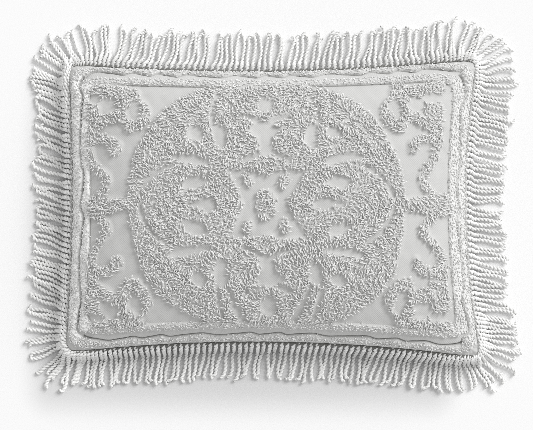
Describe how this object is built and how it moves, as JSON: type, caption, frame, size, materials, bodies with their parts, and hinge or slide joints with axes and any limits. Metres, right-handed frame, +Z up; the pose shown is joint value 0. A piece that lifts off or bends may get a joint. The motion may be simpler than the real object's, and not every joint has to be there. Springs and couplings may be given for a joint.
{
  "type": "fringed tufted chenille pillow sham",
  "caption": "Filled rectangular pillow sham with a tufted scroll medallion, ribbed border and twisted cord fringe on all sides.",
  "frame": {"origin": "on the surface that the sham lies on, under the middle of the sham, at the centre of the flat of its underside", "axes": "+X along the long sides, to the right in the picture; +Y along the short sides, to the top of the picture; +Z up out of the tufted face"},
  "size_m": [0.814, 0.6349, 0.1295],
  "materials": {
    "sham_cotton": "matt woven and tufted cotton",
    "fringe_cotton": "matt twisted cotton cord"
  },
  "bodies": {
    "root": {"filled_sham": "sham_cotton", "fringe_top": "fringe_cotton", "fringe_right": "fringe_cotton", "fringe_bottom": "fringe_cotton", "fringe_left": "fringe_cotton"}
  },
  "joints": []
}
